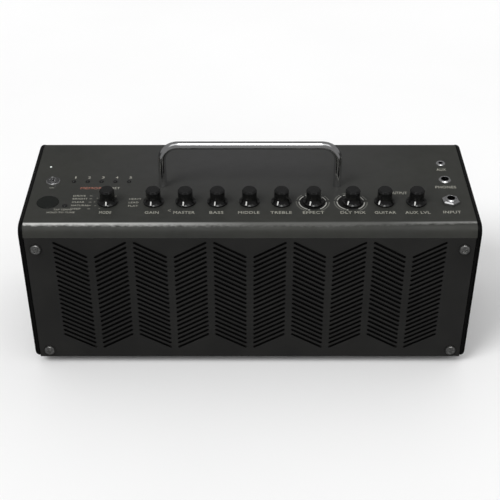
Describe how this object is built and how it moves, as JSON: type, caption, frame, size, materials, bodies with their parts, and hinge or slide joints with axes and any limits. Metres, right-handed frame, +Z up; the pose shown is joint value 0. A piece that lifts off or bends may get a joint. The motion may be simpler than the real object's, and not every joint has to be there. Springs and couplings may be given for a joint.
{
  "type": "guitar amp head",
  "caption": "Desktop guitar amplifier in head form: metal case with a chevron grille, glossy end cheeks, chrome bar handle, panel knobs, push buttons, toggle switch and sockets.",
  "frame": {"origin": "centre of the footprint, on the floor the feet stand on", "axes": "+X to the player's right when facing the front, the grille faces -Y, +Z up"},
  "size_m": [0.362, 0.1336, 0.1819],
  "materials": {
    "panel_metal": "satin",
    "grille_metal": "satin",
    "cheek_plastic": "gloss",
    "chrome": "polished",
    "screw_steel": "satin",
    "knob_plastic": "gloss",
    "shaft_metal": "satin",
    "button_plastic": "matte",
    "smoked_lens": "gloss",
    "lamp_plastic": "gloss",
    "cloth": "matte",
    "rubber": "matte",
    "case_plastic": "matte",
    "pan_metal": "matte",
    "board": "satin",
    "component_metal": "satin",
    "socket_plastic": "matte",
    "baffle_board": "matte",
    "basket_metal": "satin",
    "magnet": "satin",
    "cone_paper": "matte",
    "brass": "satin"
  },
  "bodies": {
    "chassis": {"aux_jack": "chrome", "base_pan": "pan_metal", "battery_contacts": "component_metal", "board_spacers": "brass", "case_screws": "screw_steel", "control_board": "board", "dc_jack": "socket_plastic", "display_lens": "smoked_lens", "feet": "rubber", "front_grille": "grille_metal", "grille_cloth": "cloth", "grille_screws": "screw_steel", "handle": "chrome", "handle_nuts": "screw_steel", "input_jack": "chrome", "input_jack_nut": "chrome", "left_cheek": "cheek_plastic", "main_board": "board", "phones_jack": "chrome", "potentiometers": "component_metal", "power_switch_body": "chrome", "rear_panel": "case_plastic", "right_cheek": "cheek_plastic", "speaker_baffle": "baffle_board", "speaker_baskets": "basket_metal", "speaker_magnets": "magnet", "speaker_surrounds": "rubber", "status_lamp": "lamp_plastic", "top_cover": "panel_metal", "usb_socket": "component_metal"},
    "mode_control": {"mode_knob": "knob_plastic", "mode_shaft": "shaft_metal"},
    "gain_control": {"gain_knob": "knob_plastic", "gain_shaft": "shaft_metal"},
    "master_control": {"master_knob": "knob_plastic", "master_shaft": "shaft_metal"},
    "bass_control": {"bass_knob": "knob_plastic", "bass_shaft": "shaft_metal"},
    "middle_control": {"middle_knob": "knob_plastic", "middle_shaft": "shaft_metal"},
    "treble_control": {"treble_knob": "knob_plastic", "treble_shaft": "shaft_metal"},
    "effect_control": {"effect_knob": "knob_plastic", "effect_shaft": "shaft_metal"},
    "delay_control": {"delay_knob": "knob_plastic", "delay_shaft": "shaft_metal"},
    "guitar_control": {"guitar_knob": "knob_plastic", "guitar_shaft": "shaft_metal"},
    "aux_control": {"aux_knob": "knob_plastic", "aux_shaft": "shaft_metal"},
    "memory_1": {"memory_button_1": "button_plastic"},
    "memory_2": {"memory_button_2": "button_plastic"},
    "memory_3": {"memory_button_3": "button_plastic"},
    "memory_4": {"memory_button_4": "button_plastic"},
    "memory_5": {"memory_button_5": "button_plastic"},
    "tap": {"tap_button": "button_plastic"},
    "power_lever": {"power_switch_lever": "chrome"},
    "battery_lid": {"battery_door": "case_plastic"},
    "left_diaphragm": {"left_cone": "cone_paper"},
    "right_diaphragm": {"right_cone": "cone_paper"}
  },
  "joints": [
    {"name": "mode_turn", "type": "hinge", "parent": "chassis", "child": "mode_control", "pos_m": [-0.1136, -0.0297, 0.1408], "axis": [0, 0, 1], "range_deg": [-210, 0]},
    {"name": "gain_turn", "type": "hinge", "parent": "chassis", "child": "gain_control", "pos_m": [-0.07695, -0.0297, 0.1408], "axis": [0, 0, 1], "range_deg": [-300, 0]},
    {"name": "master_turn", "type": "hinge", "parent": "chassis", "child": "master_control", "pos_m": [-0.05145, -0.0297, 0.1408], "axis": [0, 0, 1], "range_deg": [-300, 0]},
    {"name": "bass_turn", "type": "hinge", "parent": "chassis", "child": "bass_control", "pos_m": [-0.02595, -0.0297, 0.1408], "axis": [0, 0, 1], "range_deg": [-300, 0]},
    {"name": "middle_turn", "type": "hinge", "parent": "chassis", "child": "middle_control", "pos_m": [-0.00045, -0.0297, 0.1408], "axis": [0, 0, 1], "range_deg": [-300, 0]},
    {"name": "treble_turn", "type": "hinge", "parent": "chassis", "child": "treble_control", "pos_m": [0.02505, -0.0297, 0.1408], "axis": [0, 0, 1], "range_deg": [-300, 0]},
    {"name": "effect_turn", "type": "hinge", "parent": "chassis", "child": "effect_control", "pos_m": [0.05055, -0.0297, 0.1408], "axis": [0, 0, 1], "range_deg": [-300, 0]},
    {"name": "delay_turn", "type": "hinge", "parent": "chassis", "child": "delay_control", "pos_m": [0.0817, -0.0297, 0.1408], "axis": [0, 0, 1], "range_deg": [-300, 0]},
    {"name": "guitar_turn", "type": "hinge", "parent": "chassis", "child": "guitar_control", "pos_m": [0.1072, -0.0297, 0.1408], "axis": [0, 0, 1], "range_deg": [-300, 0]},
    {"name": "aux_turn", "type": "hinge", "parent": "chassis", "child": "aux_control", "pos_m": [0.1327, -0.0297, 0.1408], "axis": [0, 0, 1], "range_deg": [-300, 0]},
    {"name": "memory_1_push", "type": "slide", "parent": "chassis", "child": "memory_1", "axis": [0, 0, -1], "range_m": [0, 0.0005], "stiffness_N_per_m": 400},
    {"name": "memory_2_push", "type": "slide", "parent": "chassis", "child": "memory_2", "axis": [0, 0, -1], "range_m": [0, 0.0005], "stiffness_N_per_m": 400},
    {"name": "memory_3_push", "type": "slide", "parent": "chassis", "child": "memory_3", "axis": [0, 0, -1], "range_m": [0, 0.0005], "stiffness_N_per_m": 400},
    {"name": "memory_4_push", "type": "slide", "parent": "chassis", "child": "memory_4", "axis": [0, 0, -1], "range_m": [0, 0.0005], "stiffness_N_per_m": 400},
    {"name": "memory_5_push", "type": "slide", "parent": "chassis", "child": "memory_5", "axis": [0, 0, -1], "range_m": [0, 0.0005], "stiffness_N_per_m": 400},
    {"name": "tap_push", "type": "slide", "parent": "chassis", "child": "tap", "axis": [0, 0, -1], "range_m": [0, 0.0005], "stiffness_N_per_m": 400},
    {"name": "power_flip", "type": "hinge", "parent": "chassis", "child": "power_lever", "pos_m": [-0.1614, 0.0006, 0.1398], "axis": [-1, 0, 0], "range_deg": [0, 24]},
    {"name": "battery_lid_open", "type": "hinge", "parent": "chassis", "child": "battery_lid", "pos_m": [0, 0.0633, 0.0293], "axis": [-1, 0, 0], "range_deg": [0, 90]},
    {"name": "left_cone_stroke", "type": "slide", "parent": "chassis", "child": "left_diaphragm", "axis": [0, 1, 0], "range_m": [-0.0015, 0.0015], "stiffness_N_per_m": 900},
    {"name": "right_cone_stroke", "type": "slide", "parent": "chassis", "child": "right_diaphragm", "axis": [0, 1, 0], "range_m": [-0.0015, 0.0015], "stiffness_N_per_m": 900}
  ]
}
